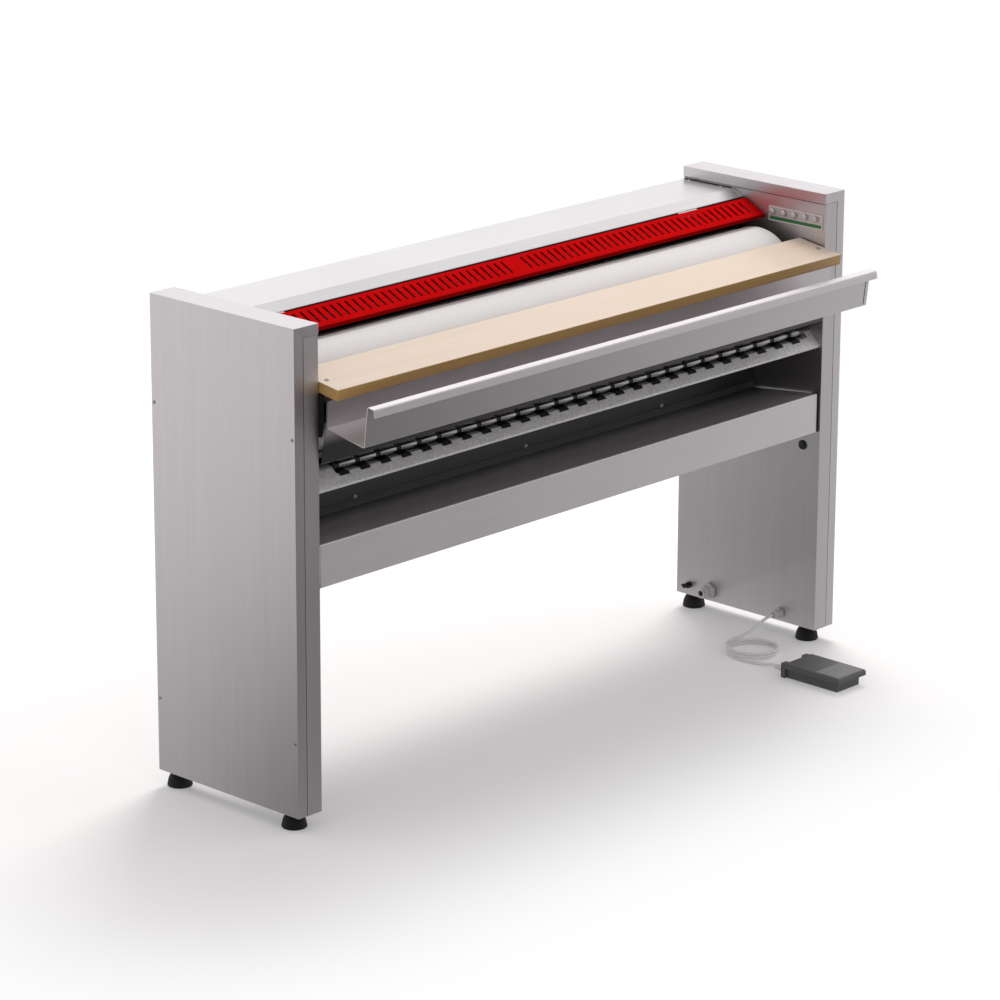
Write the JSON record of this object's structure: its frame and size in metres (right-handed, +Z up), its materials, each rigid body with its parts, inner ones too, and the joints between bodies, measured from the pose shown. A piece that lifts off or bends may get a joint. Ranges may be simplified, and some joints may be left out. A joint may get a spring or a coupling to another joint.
{
  "type": "flatwork ironer",
  "caption": "Flatwork ironer with a padded roll and heated chest between two slim cabinets, feed table, linen tray, outfeed rollers over a shelf, red finger guard and a foot pedal.",
  "frame": {"origin": "middle of the footprint of the machine and its pedal, at floor level", "axes": "+X along the roll towards the control panel's cabinet, +Y from the operator to the back, +Z up"},
  "size_m": [1.678, 0.657, 1.04],
  "materials": {
    "stainless": "brushed stainless sheet, satin",
    "bright_sheet": "bright rolled sheet, fine spangle",
    "dark_sheet": "rolled steel sheet, dull",
    "red_paint": "powder coat, semi-gloss red",
    "beech": "lacquered beech, fine straight grain",
    "roll_cloth": "white needled padding cloth, matt",
    "chrome": "polished",
    "machined_steel": "turned and ground, oiled",
    "chest_aluminium": "polished on the ironing face",
    "rubber": "moulded, matt",
    "black_plastic": "moulded, fine grain",
    "grey_plastic": "moulded, light grey",
    "pedal_plastic": "moulded, dark grey, fine texture",
    "motor_paint": "enamel, blue grey",
    "cord_skin": "smooth flexible sheath, off white"
  },
  "bodies": {
    "frame": {"left_side_cover": "stainless", "left_inner_panel": "stainless", "left_base_plate": "machined_steel", "right_side_cover": "stainless", "right_inner_panel": "stainless", "right_base_plate": "machined_steel", "top_cover": "bright_sheet", "rear_panel": "stainless", "bottom_panel": "dark_sheet", "inner_back_wall": "dark_sheet", "linen_shelf": "stainless", "roll_bearing_left": "machined_steel", "roll_bearing_right": "machined_steel", "drive_chain": "machined_steel", "gearmotor": "motor_paint", "electrical_box": "grey_plastic", "press_actuator": "motor_paint", "guard_bracket_left": "stainless", "guard_bracket_right": "stainless", "feed_table": "beech", "linen_tray": "stainless", "front_shield": "stainless", "table_bracket_left": "dark_sheet", "table_bracket_right": "dark_sheet", "chute_plate": "bright_sheet", "roller_rest_strip": "black_plastic", "control_panel_plate": "chest_aluminium", "supply_gland": "grey_plastic", "pedal_gland": "grey_plastic", "earth_stud": "machined_steel", "wall_plug": "black_plastic", "pedal_base": "pedal_plastic", "pedal_switch": "black_plastic", "pedal_cord_sleeve": "cord_skin", "cord_coil": "cord_skin", "cord_lead": "cord_skin", "cord_tail": "cord_skin"},
    "roll": {"roll_drum": "machined_steel", "roll_padding": "roll_cloth", "roll_shaft": "machined_steel", "roll_sprocket": "machined_steel"},
    "motor_shaft": {"motor_sprocket": "machined_steel"},
    "chest": {"heated_chest": "chest_aluminium", "heater_upper": "machined_steel", "heater_lower": "machined_steel", "chest_shield": "bright_sheet", "chest_hanger": "machined_steel"},
    "press_plunger": {"press_rod": "chrome"},
    "guard": {"finger_guard": "red_paint"},
    "outfeed": {"outfeed_roller": "chrome"},
    "treadle": {"pedal_treadle": "pedal_plastic"},
    "push_button_1": {"button_1": "chrome"},
    "push_button_2": {"button_2": "chrome"},
    "push_button_3": {"button_3": "chrome"},
    "push_button_4": {"button_4": "chrome"},
    "push_button_5": {"button_5": "chrome"},
    "left_front_foot_body": {"left_front_foot": "rubber"},
    "left_back_foot_body": {"left_back_foot": "rubber"},
    "right_front_foot_body": {"right_front_foot": "rubber"},
    "right_back_foot_body": {"right_back_foot": "rubber"}
  },
  "joints": [
    {"name": "roll_turn", "type": "hinge", "parent": "frame", "child": "roll", "pos_m": [0, 0.0765, 0.838], "axis": [-1, 0, 0], "continuous": true},
    {"name": "motor_turn", "type": "hinge", "parent": "frame", "child": "motor_shaft", "pos_m": [0.78, 0.2195, 0.622], "axis": [-1, 0, 0], "continuous": true},
    {"name": "chest_press", "type": "hinge", "parent": "frame", "child": "chest", "pos_m": [0, 0.1625, 0.961], "axis": [-1, 0, 0], "range_deg": [0, 3]},
    {"name": "press_stroke", "type": "slide", "parent": "frame", "child": "press_plunger", "axis": [0, -1, 0], "range_m": [0, 0.013]},
    {"name": "guard_lift", "type": "hinge", "parent": "frame", "child": "guard", "pos_m": [0, 0.1491, 0.989], "axis": [-1, 0, 0], "range_deg": [0, 12]},
    {"name": "outfeed_turn", "type": "hinge", "parent": "frame", "child": "outfeed", "pos_m": [0, -0.0405, 0.729], "axis": [1, 0, 0], "continuous": true},
    {"name": "button_1_press", "type": "slide", "parent": "frame", "child": "push_button_1", "axis": [1, 0, 0], "range_m": [0, 0.0025], "stiffness_N_per_m": 500, "springref_m": -0.001},
    {"name": "button_2_press", "type": "slide", "parent": "frame", "child": "push_button_2", "axis": [1, 0, 0], "range_m": [0, 0.0025], "stiffness_N_per_m": 500, "springref_m": -0.001},
    {"name": "button_3_press", "type": "slide", "parent": "frame", "child": "push_button_3", "axis": [1, 0, 0], "range_m": [0, 0.0025], "stiffness_N_per_m": 500, "springref_m": -0.001},
    {"name": "button_4_press", "type": "slide", "parent": "frame", "child": "push_button_4", "axis": [1, 0, 0], "range_m": [0, 0.0025], "stiffness_N_per_m": 500, "springref_m": -0.001},
    {"name": "button_5_press", "type": "slide", "parent": "frame", "child": "push_button_5", "axis": [1, 0, 0], "range_m": [0, 0.0025], "stiffness_N_per_m": 500, "springref_m": -0.001},
    {"name": "treadle_press", "type": "hinge", "parent": "frame", "child": "treadle", "pos_m": [0.603, -0.1705, 0.021], "axis": [1, 0, 0], "range_deg": [0, 3.5], "stiffness_Nm_per_rad": 6, "springref_deg": -3.44},
    {"name": "left_front_foot_turn", "type": "hinge", "parent": "frame", "child": "left_front_foot_body", "pos_m": [-0.806, -0.0335, 0.03], "axis": [0, 0, 1], "continuous": true},
    {"name": "left_back_foot_turn", "type": "hinge", "parent": "frame", "child": "left_back_foot_body", "pos_m": [-0.806, 0.3025, 0.03], "axis": [0, 0, 1], "continuous": true},
    {"name": "right_front_foot_turn", "type": "hinge", "parent": "frame", "child": "right_front_foot_body", "pos_m": [0.806, -0.0335, 0.03], "axis": [0, 0, 1], "continuous": true},
    {"name": "right_back_foot_turn", "type": "hinge", "parent": "frame", "child": "right_back_foot_body", "pos_m": [0.806, 0.3025, 0.03], "axis": [0, 0, 1], "continuous": true}
  ],
  "couplings": [
    {"joint": "motor_turn", "follows": "roll_turn", "ratio": 2.5},
    {"joint": "press_stroke", "follows": "chest_press", "m_per_rad": 0.246}
  ]
}
